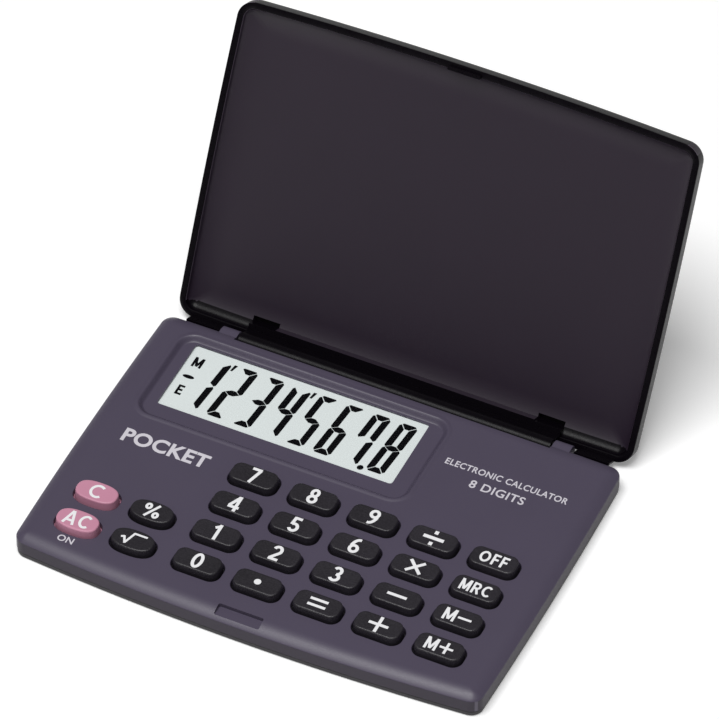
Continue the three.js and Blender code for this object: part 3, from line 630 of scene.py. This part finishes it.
# ---- Display ------------------------------------------------------------------------------------
# A clear acrylic window under the roof, and below it the liquid-crystal panel: two glass plates
# with a grey-green polariser. The dark segments lie in the panel, and a heat-sealed ribbon joins
# its ledge to the board.
clear = bpy.data.materials.new("window_acrylic")
clear.use_nodes = True
shader = clear.node_tree.nodes["Principled BSDF"]
wipes = clear.node_tree.nodes.new("ShaderNodeTexNoise")
wipes.inputs["Scale"].default_value = 160.0
spread = clear.node_tree.nodes.new("ShaderNodeMapRange")
spread.inputs["To Min"].default_value, spread.inputs["To Max"].default_value = 0.03, 0.12
place = clear.node_tree.nodes.new("ShaderNodeTexCoord")
clear.node_tree.links.new(place.outputs["Object"], wipes.inputs["Vector"])
clear.node_tree.links.new(wipes.outputs["Fac"], spread.inputs["Value"])
clear.node_tree.links.new(spread.outputs["Result"], shader.inputs["Roughness"])
shader.inputs["Base Color"].default_value = linear((60, 62, 64))
shader.inputs["Alpha"].default_value = 0.05
shader.inputs["IOR"].default_value = 1.49


def refinish(node, material):
    """Gives a CAD node's own mesh the material in every slot it has."""
    data = frame["nodes"][node].data
    if not data.materials:
        data.materials.append(material)
    for n in range(len(data.materials)):
        data.materials[n] = material


refinish("display_window", clear)
refinish("lcd_panel", moulded("polariser", (246, 254, 253), grain=0.35, mottle=0.05,
                              roughness=0.55, depth=0.003))
refinish("lcd_ribbon", moulded("ribbon_film", (176, 128, 52), grain=0.5, mottle=0.25,
                               roughness=0.4, depth=0.01))

DIGIT_HIGH = 12.9
DIGIT_WIDE = 3.45
DIGIT_PITCH = 5.2
STROKE = 1.25
NICK = 0.07
DIGIT_LEAN = np.tan(np.radians(4.5))
DIGIT_MARGIN_BACK = 1.3
DIGIT_MARGIN_RIGHT = 1.5
SEGMENT_THICK = 0.03
SIGN_HIGH = 2.4
panel_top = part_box("lcd_panel")[1].z / MM


def segment_shapes():
    """The seven strokes of one digit, by letter from the top clockwise with g in the middle:
    bars with ends cut at 45 degrees, so that neighbours meet across a hair-wide gap."""
    w, h, t, n = DIGIT_WIDE, DIGIT_HIGH, STROKE, NICK
    m, c = h / 2, 0.3
    upright_left = np.array([[c, h - c - n], [0, h - 2 * c - n], [0, m + 0.45], [c, m + n],
                             [t, m + t / 2 + n], [t, h - t - n * 2]])
    top = np.array([[c + n, h - c + n], [2 * c, h], [w - 2 * c, h], [w - c - n, h - c + n],
                    [w - t - n, h - t], [t + n, h - t]])
    middle = np.array([[c + n, m], [t + n, m + t / 2], [w - t - n, m + t / 2], [w - c - n, m],
                       [w - t - n, m - t / 2], [t + n, m - t / 2]])
    flip_x = lambda p: np.stack([w - p[:, 0], p[:, 1]], 1)
    flip_y = lambda p: np.stack([p[:, 0], h - p[:, 1]], 1)
    return {"a": top, "b": flip_x(upright_left), "c": flip_x(flip_y(upright_left)),
            "d": flip_y(top), "e": flip_y(upright_left), "f": upright_left, "g": middle}


def thin(shape, x, y, z):
    """A flat shape as a thin plate, turned anticlockwise first if its signed area is negative."""
    nxt = np.roll(shape, -1, 0)
    if np.sum(shape[:, 0] * nxt[:, 1] - nxt[:, 0] * shape[:, 1]) < 0:
        shape = shape[::-1]
    leaned = np.stack([shape[:, 0] + shape[:, 1] * DIGIT_LEAN + x, shape[:, 1] + y], 1)
    return upright(leaned, z, z + SEGMENT_THICK)


LIT = {"1": "bc", "2": "abged", "3": "abgcd", "4": "fgbc", "5": "afgcd", "6": "afgedc",
       "7": "fabc", "8": "abcdefg"}
strokes = segment_shapes()
digits_front = WINDOW[3] - DIGIT_MARGIN_BACK - DIGIT_HIGH
lean_back = DIGIT_HIGH * DIGIT_LEAN
lit = []
last_left = WINDOW[1] - DIGIT_MARGIN_RIGHT - lean_back - DIGIT_WIDE
tick = np.array([[0.0, -0.8], [0.1, 0.75], [0.7, 0.75], [0.4, -0.8]])
for places_after, digit in zip(range(7, -1, -1), "12345678"):
    left = last_left - places_after * DIGIT_PITCH
    lit += [thin(strokes[s], left, digits_front, panel_top) for s in LIT[digit]]
    if digit in "14":
        lit.append(thin(tick, left + DIGIT_WIDE + lean_back + 0.2, WINDOW[3] - 2.1, panel_top))
turn = np.linspace(0, 2 * np.pi, 28, endpoint=False)
dot = 0.58 * np.stack([np.cos(turn), np.sin(turn)], 1)
lit.append(thin(dot, WINDOW[1] - 6.85, WINDOW[2] + 1.7, panel_top))
bar = np.stack([1.1 * np.cos(turn), 0.42 * np.sin(turn)], 1)
lit.append(thin(bar, WINDOW[0] + 2.05, WINDOW[3] - 7.4, panel_top))
for letter, down in (("M", 3.6), ("E", 10.9)):
    lit.append(taken(written("sign", letter, SIGN_HIGH, WINDOW[0] + 2.1, WINDOW[3] - down,
                             panel_top, 0.9, PEN)))
lcd_segments = made("lcd_segments", together(*lit))
dressed(lcd_segments, moulded("liquid_crystal", (3, 2, 5), grain=0.4, mottle=0.2,
                              roughness=0.7, depth=0.002, Specular_IOR_Level=0.0), "base", "lcd")

# ---- Keys ---------------------------------------------------------------------------------------
# 24 moulded caps, black but for the two pink clear keys. Each stands proud of the case on straight
# sides, has a small rounded shoulder and a barely hollow, finely grained top, and is held from
# falling out by a flange under the roof. Its legend is printed in white, in strokes of one width.
SHOULDER = 0.3
HOLLOW = 0.03
TAPER = 0.2
FLANGE_THICK = 0.5
key_black = moulded("key_black", (36, 33, 39), grain=0.3, mottle=1.1, roughness=0.4, depth=0.05)
key_pink = moulded("key_pink", (205, 142, 166), grain=0.16, mottle=0.12, roughness=0.42,
                   depth=0.02)
legend_ink = ink("legend_ink", (244, 244, 246), roughness=0.42)


# Each legend: its glyphs, their height in millimetres, the width factor and the pen's share of
# the height. The last ones are spread or squeezed to the width of their keys.
LEGENDS = {
    "key_point": (".", 3.2, 1.0, 0.2),
    "key_equals": ("=", 3.6, 1.0, 0.155), "key_plus": ("+", 3.9, 1.0, 0.15),
    "key_minus": ("-", 3.9, 1.0, 0.15), "key_times": ("x", 3.9, 1.0, 0.15),
    "key_divide": ("/", 4.1, 1.0, 0.17), "key_root": ("r", 2.95, 1.0, 0.14),
    "key_percent": ("%", 3.2, 1.0, 0.15), "key_clear": ("C", 3.3, 1.15, 0.155),
    "key_all_clear": ("AC", 3.2, 0.92, 0.155), "key_off": ("OFF", 2.6, 0.95, 0.17),
    "key_memory_recall": ("MRC", 2.6, 0.88, 0.165),
    "key_memory_minus": ("M-", 2.8, 0.95, 0.165),
    "key_memory_plus": ("M+", 2.8, 0.95, 0.165)}
LEGENDS.update({f"key_{digit}": (str(digit), 3.7, 0.87, 0.16) for digit in range(10)})


def key_cap(name):
    """A key's rings from the flange up: straight sides that draw in by the taper, a quarter-round
    shoulder, then rings that shrink towards the middle while the top sinks by a parabola."""
    low, high = key_boxes[name]
    centre = np.array([(low.x + high.x) / 2, (low.y + high.y) / 2])
    flange_top = low.z + FLANGE_THICK
    rings = [at_height(key_plan(name, KEY_FLANGE), low.z),
             at_height(key_plan(name, KEY_FLANGE), flange_top),
             at_height(key_plan(name), flange_top)]
    rings += [at_height(key_plan(name, -TAPER - SHOULDER * (1 - c)),
                        high.z - SHOULDER * (1 - s)) for c, s in quarter(6)]
    top = key_plan(name, -TAPER - SHOULDER)
    for share in (0.9, 0.78, 0.64, 0.48, 0.3, 0.12):
        rings.append(at_height(centre + (top - centre) * share, high.z - HOLLOW * (1 - share**2)))
    return pile(rings)


for name, (words, high, wide, pen) in LEGENDS.items():
    body = name + "_body"
    finish = "key_pink" if name in ("key_clear", "key_all_clear") else "key_black"
    cap = made(name + "_cap", key_cap(name))
    shaded(cap, 40)
    dressed(cap, key_pink if finish == "key_pink" else key_black, body, finish, name)
    low, top = key_boxes[name]
    legend = written(name + "_legend", words, high, (low.x + top.x) / 2, (low.y + top.y) / 2,
                     top.z - HOLLOW, wide, pen)
    dressed(legend, legend_ink, body, finish)

# ---- Inside -------------------------------------------------------------------------------------
# Under the keys lie a silicone mat of domes and one glass-epoxy board with the chip under a black
# blob and two ceramic capacitors. The cell lies in a hole of the board between two sprung strips.
refinish("key_mat", moulded("silicone", (150, 150, 152), grain=0.5, mottle=0.08, roughness=0.7,
                            depth=0.01))
refinish("chip_cover", moulded("epoxy_blob", (18, 18, 20), grain=0.8, mottle=0.2, roughness=0.3,
                               depth=0.01))
for n in (1, 2):
    refinish(f"capacitor_{n}", moulded(f"ceramic_{n}", (166, 128, 88), grain=0.3, mottle=0.15,
                                       roughness=0.6, depth=0.006))


def board_material():
    """Solder mask over copper: square tracks from a brick pattern show as lighter, raised lines."""
    material = moulded("solder_mask", (40, 104, 58), grain=0.5, mottle=0.15, roughness=0.38,
                       depth=0.01)
    nodes, links = material.node_tree.nodes, material.node_tree.links
    shader = nodes["Principled BSDF"]
    skin = next(n for n in nodes if n.type == "GROUP")
    where = nodes.new("ShaderNodeTexCoord")
    tracks = nodes.new("ShaderNodeTexBrick")
    tracks.inputs["Scale"].default_value = 160.0
    tracks.inputs["Mortar Size"].default_value = 0.07
    tracks.offset, tracks.squash = 0.5, 1.6
    tracks.inputs["Color1"].default_value = tracks.inputs["Color2"].default_value = (0, 0, 0, 1)
    tracks.inputs["Mortar"].default_value = (1, 1, 1, 1)
    links.new(where.outputs["Object"], tracks.inputs["Vector"])
    mix = nodes.new("ShaderNodeMix")
    mix.data_type = "RGBA"
    links.new(tracks.outputs["Color"], mix.inputs["Factor"])
    links.new(skin.outputs["Colour"], mix.inputs["A"])
    mix.inputs["B"].default_value = linear((92, 150, 84))
    links.new(mix.outputs["Result"], shader.inputs["Base Color"])
    return material


refinish("circuit_board", board_material())


def metal(name, colour, roughness, stretch=1.0):
    """Rolled or turned steel: fine scratches, long in one direction by the stretch."""
    material = bpy.data.materials.new(name)
    material.use_nodes = True
    nodes, links = material.node_tree.nodes, material.node_tree.links
    shader = nodes["Principled BSDF"]
    where, shape = nodes.new("ShaderNodeTexCoord"), nodes.new("ShaderNodeMapping")
    shape.inputs["Scale"].default_value = (1.0, stretch, 1.0)
    lines, tone, rough = (nodes.new("ShaderNodeTexNoise"), nodes.new("ShaderNodeMapRange"),
                          nodes.new("ShaderNodeMapRange"))
    lines.inputs["Scale"].default_value = 900.0
    lines.inputs["Detail"].default_value = 4.0
    links.new(where.outputs["Object"], shape.inputs["Vector"])
    links.new(shape.outputs["Vector"], lines.inputs["Vector"])
    tone.inputs["To Min"].default_value, tone.inputs["To Max"].default_value = 0.85, 1.1
    rough.inputs["To Min"].default_value = roughness - 0.08
    rough.inputs["To Max"].default_value = roughness + 0.1
    tint = nodes.new("ShaderNodeVectorMath")
    tint.operation = "SCALE"
    tint.inputs[0].default_value = linear(colour)[:3]
    for target in (tone, rough):
        links.new(lines.outputs["Fac"], target.inputs["Value"])
    links.new(tone.outputs["Result"], tint.inputs["Scale"])
    links.new(tint.outputs[0], shader.inputs["Base Color"])
    links.new(rough.outputs["Result"], shader.inputs["Roughness"])
    shader.inputs["Metallic"].default_value = 1.0
    return material


refinish("battery_cell", metal("cell_steel", (206, 206, 202), 0.26))
sprung_strip = metal("sprung_strip", (214, 210, 196), 0.3, 8.0)
refinish("battery_contact_negative", sprung_strip)
refinish("battery_contact_positive", sprung_strip)

# ---- Back cover ---------------------------------------------------------------------------------
# The lower half of the case: a shallow tray of near-black plastic whose tongue stands inside the
# case top. It is recessed behind the parting line, notched for the hinge barrel, and counterbored
# for four screws.
cover_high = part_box("lower_case")[1] / MM
COVER_INSET = CASE_HALF - cover_high.x
COVER_TOP = CASE_PARTING - 0.1
COVER_ROLL = 0.35
TONGUE_OUT = CASE_WALL + 0.2
TONGUE_IN = TONGUE_OUT + 0.8
TONGUE_TOP = cover_high.z
COVER_FLOOR = 0.9
HEAD_BORE = 1.35
HEAD_BORE_DEEP = 0.5

under = [(COVER_INSET + COVER_ROLL * (1 - s), COVER_ROLL * (1 - c)) for c, s in quarter(7)]
cover_section = under + [
    (COVER_INSET, COVER_TOP - 0.08), (COVER_INSET + 0.08, COVER_TOP), (TONGUE_OUT, COVER_TOP),
    (TONGUE_OUT, TONGUE_TOP), (TONGUE_IN, TONGUE_TOP), (TONGUE_IN, COVER_FLOOR)]
back_cover = made("back_cover", pile([at_height(case_plan(i), z) for i, z in cover_section]))
worked(back_cover, block(-cheek - CASE_WALL - 0.2, cheek + CASE_WALL + 0.2,
                         notch_front - CASE_WALL - 0.2, CASE_BACK + 2, COVER_FLOOR, CASE_TOP))
worked(back_cover, block(-cheek, cheek, notch_front, CASE_BACK + 2, -1, CASE_TOP))
worked(back_cover, together(*[post(1.7, x, y, COVER_TOP, CASE_TOP) for x, y in screw_places]))
worked(back_cover, together(*[post(BOSS_RADIUS, x, y, COVER_FLOOR - 0.2, COVER_TOP)
                              for x, y in screw_places]), "UNION")
worked(back_cover, together(*[post(HEAD_BORE, x, y, -1, HEAD_BORE_DEEP) for x, y in screw_places]))
worked(back_cover, together(*[post(SCREW_BORE, x, y, 0.3, CASE_TOP) for x, y in screw_places]))
shaded(back_cover)
dressed(back_cover, moulded("cover_plastic", (24, 19, 27), grain=0.28, mottle=0.12,
                            roughness=0.48, depth=0.02), "base", "back_cover", "lower_case")

# ---- Screws -------------------------------------------------------------------------------------
# Four small self-tapping steel screws from below: a flat head with a rounded rim, a cross recess
# and a threaded shank, whose thread is cut as fine rings.
CROSS_LONG = 0.8
CROSS_THIN = 0.14
CROSS_DEEP = 0.27
screw_steel = metal("screw_steel", (186, 186, 184), 0.3)


def screw_body(x, y, low, high):
    """A section carried round the upright axis: head, shank with a zigzag thread, blunt point."""
    thread = [(0.6 + 0.1 * (n % 2), low + 0.55 + 0.14 * n) for n in range(13)]
    section = [(1.1, low), (1.2, low + 0.05), (1.25, low + 0.14), (1.25, low + 0.34),
               (1.15, low + 0.4), (0.7, low + 0.42)] + thread + [(0.35, high)]
    turn = np.linspace(0, 2 * np.pi, 36, endpoint=False)
    circle = np.stack([np.cos(turn), np.sin(turn)], 1)
    return pile([at_height([x, y] + r * circle, z) for r, z in section])


for n, ((x, y), (low, high)) in enumerate(zip(screw_places, for_screws), 1):
    screw = made(f"screw_{n}", screw_body(x, y, low.z / MM, high.z / MM))
    for across, along in ((CROSS_LONG, CROSS_THIN), (CROSS_THIN, CROSS_LONG)):
        worked(screw, block(x - across, x + across, y - along, y + along, -1, CROSS_DEEP))
    shaded(screw, 40)
    dressed(screw, screw_steel, "base", "screw", f"case_screw_{n}")

# ---- Lid ----------------------------------------------------------------------------------------
# A shallow tray of dark plastic, glossy outside and satin inside, that folds over the keys. The
# satin finish inside is real, but its lighter colour is painted light, and a lighter band on the
# rim's inner bevel is a painted highlight. Its barrel runs between the case's knuckles on two pivot
# pins, beside which two blind slots let the ends spring in when it is fitted. Skirts close the gap
# behind the case;
# a catch hangs in front.
LID_INSET = 0.35
LID_BEHIND = 0.55
LID_LENGTH = 61.6
LID_HALF = CASE_HALF - LID_INSET
LID_BACK = CASE_BACK + LID_BEHIND
LID_FRONT = LID_BACK - LID_LENGTH
LID_CORNER = 3.2
LID_BOWS = {"side": 0.3, "front": 1.05, "back": 0.35}
LID_RIM = CASE_TOP + 0.2
LID_THICK = 3.4
LID_POCKET = 2.2
LID_TOP = LID_RIM + LID_THICK
LID_WALL = 1.3
LID_FLOOR = LID_RIM + LID_POCKET
LID_ROLL = 1.3
LID_OPEN = np.radians(117)
COVE_WIDE = 5.0
COVE_DEEP = 1.75
LID_EDGE = 0.24
SKIRT_IN, SKIRT_OUT = 34.5, 41.3
LEDGE_DEPTH = 2.7
WEB_THICK = 1.2
TAB_HALF = 3.15
SLOT_WIDTH = 5.2
SLOT_DEPTH = 0.7
SLOT_ROOF = 0.4


def lid_plan(inset):
    plan = rounded_plan(-LID_HALF + inset, LID_HALF - inset, LID_FRONT + inset, LID_BACK - inset,
                        max(LID_CORNER - inset, 0.8), 12, 40)
    return bowed(plan, LID_HALF, LID_FRONT, LID_BACK, LID_BOWS)


foot = [(LID_WALL + COVE_WIDE * (1 - s), LID_FLOOR - COVE_DEEP * (1 - c))
        for c, s in quarter(14)]
outer = [(LID_ROLL * (1 - c), LID_TOP - LID_ROLL * (1 - s)) for c, s in quarter(9)]
lid_section = foot + [
    (LID_WALL, LID_RIM + LID_EDGE), (LID_WALL - 0.07, LID_RIM + 0.07),
    (LID_WALL - LID_EDGE, LID_RIM),
    (0.14, LID_RIM), (0.04, LID_RIM + 0.04), (0.0, LID_RIM + 0.14)] + outer
lid = made("folding_lid", pile([at_height(lid_plan(i), z) for i, z in lid_section]))
ledge_back = LID_BACK - LID_BOWS["back"]
ledge_front = ledge_back - LEDGE_DEPTH
worked(lid, block(-BARREL_HALF, BARREL_HALF, ledge_front, ledge_back, LID_RIM, LID_FLOOR + 0.2),
       "UNION")
worked(lid, block(-BARREL_HALF, BARREL_HALF, ledge_back - WEB_THICK, ledge_back, HINGE_Z,
                  LID_RIM + 0.5), "UNION")
worked(lid, rod(BARREL_RADIUS, -BARREL_HALF, BARREL_HALF, HINGE_Y, HINGE_Z, 56), "UNION")
worked(lid, rod(PIN_RADIUS, -BARREL_HALF - PIN_LENGTH, BARREL_HALF + PIN_LENGTH, HINGE_Y, HINGE_Z),
       "UNION")
worked(lid, upright(rounded_plan(CATCH_X - TAB_HALF, CATCH_X + TAB_HALF, LID_FRONT + 0.7,
                                 LID_FRONT + 1.4, 0.2, 3), LID_RIM - 0.5, LID_FLOOR + 0.2), "UNION")
worked(lid, together(*[block(min(a, b), max(a, b), ledge_front - SLOT_DEPTH, ledge_front + 0.3,
                             LID_RIM, LID_TOP - SLOT_ROOF)
                       for a, b in ((BARREL_HALF - SLOT_WIDTH, BARREL_HALF),
                                    (SLOT_WIDTH - BARREL_HALF, -BARREL_HALF))]))

skirts = made("skirts", upright(lid_plan(0.02), HINGE_Z, LID_RIM + 0.3))
worked(skirts, upright(case_plan(-0.12), 0, LID_TOP))
worked(skirts, together(*[block(min(a, b), max(a, b), CASE_BACK - 1.5, CASE_BACK + 5, HINGE_Z,
                                LID_RIM + 0.3)
                          for a, b in ((SKIRT_IN, SKIRT_OUT), (-SKIRT_IN, -SKIRT_OUT))]),
       "INTERSECT")
worked(lid, taken(skirts), "UNION")


def turned_open(thing):
    """The lid is shaped shut, then its points are turned about the hinge line to stand open."""
    axis = Matrix.Translation((0, HINGE_Y * MM, HINGE_Z * MM))
    thing.data.transform(axis @ Matrix.Rotation(-LID_OPEN, 4, "X") @ axis.inverted())
    return thing


shaded(lid)
middles, normals = faces_of(lid)
within = (np.abs(middles[:, 0]) < LID_HALF - LID_WALL + LID_EDGE + 0.1) & (
    middles[:, 1] > LID_FRONT + LID_WALL - LID_EDGE - 0.1) & (middles[:, 1] < ledge_front + 0.1)
inward = within & (middles[:, 2] > LID_RIM + LID_EDGE) & (middles[:, 2] < LID_FLOOR + 0.01)
edge = within & (middles[:, 2] < LID_RIM + LID_EDGE) & (
    normals[:, 2] > -0.9) & (normals[:, 2] < -0.3)
lid_gloss = moulded("lid_gloss", (7, 4, 9), grain=0.5, mottle=0.12, roughness=0.3, depth=0.002,
                    Specular_IOR_Level=0.12)
# The inside is satin, and its colour is lighter than the outside's as painted light.
lid_satin_painted_light = moulded("lid_satin_painted_light", (34, 23, 38), grain=0.25, mottle=0.14, roughness=0.48, depth=0.01)
dressed(lid, lid_gloss, "lid", "lid", "lid")
lid.data.materials.append(lid_satin_painted_light)
# The rim's inner bevel faces, picked by edge, take a lighter colour: a painted highlight.
lid.data.materials.append(moulded("lid_painted_highlight", (92, 82, 96), grain=0.3, mottle=0.12,
                                  roughness=0.4, depth=0.004))
lid.data.polygons.foreach_set("material_index", (inward + 2 * edge).astype(np.int32))
turned_open(lid)

# ---- Stage --------------------------------------------------------------------------------------
# A plain pale floor, two soft studio boxes, one overhead and one in front, and the camera.
floor = made("floor", upright(rounded_plan(-3000, 3000, -3000, 3000, 100, 8), -5, 0))
floor.data.materials.append(moulded("floor_card", (250, 250, 250), grain=40, mottle=0.01,
                                    roughness=0.9, depth=0.0, Emission_Color=(1, 1, 1, 1),
                                    Emission_Strength=0.22))

world = bpy.data.worlds.new("studio")
bpy.context.scene.world = world
world.use_nodes = True
world.node_tree.nodes["Background"].inputs["Color"].default_value = (1, 1, 1, 1)
world.node_tree.nodes["Background"].inputs["Strength"].default_value = 0.15


def softbox(name, place, size, power, aim=(0.0, 0.0, 0.0)):
    lamp = bpy.data.lights.new(name, "AREA")
    lamp.shape, lamp.size, lamp.size_y, lamp.energy = "RECTANGLE", size[0], size[1], power
    holder = bpy.data.objects.new(name, lamp)
    holder.location = place
    holder.rotation_euler = (Vector(aim) - Vector(place)).to_track_quat("-Z", "Y").to_euler()
    bpy.context.scene.collection.objects.link(holder)


softbox("overhead", (-0.05, -0.3, 1.2), (0.8, 0.6), 13.0)
softbox("front", (-0.35, -0.9, 0.75), (0.5, 0.3), 0.5)

eye = bpy.data.cameras.new("eye")
eye.lens, eye.sensor_width = 394.0, 36.0
eye.clip_start, eye.clip_end = 0.05, 20.0
camera = bpy.data.objects.new("eye", eye)
bpy.context.scene.collection.objects.link(camera)
AZIMUTH, ELEVATION, DISTANCE = np.radians(25.476), np.radians(46.035), 1.4001
TARGET = Vector((-0.010345, 0.038842, 0.0))
toward = Vector((np.sin(AZIMUTH) * np.cos(ELEVATION), -np.cos(AZIMUTH) * np.cos(ELEVATION),
                 np.sin(ELEVATION)))
camera.location = TARGET + toward * DISTANCE
camera.rotation_euler = (-toward).to_track_quat("-Z", "Y").to_euler()
bpy.context.scene.camera = camera
bpy.context.scene.view_settings.view_transform = "Standard"

import json
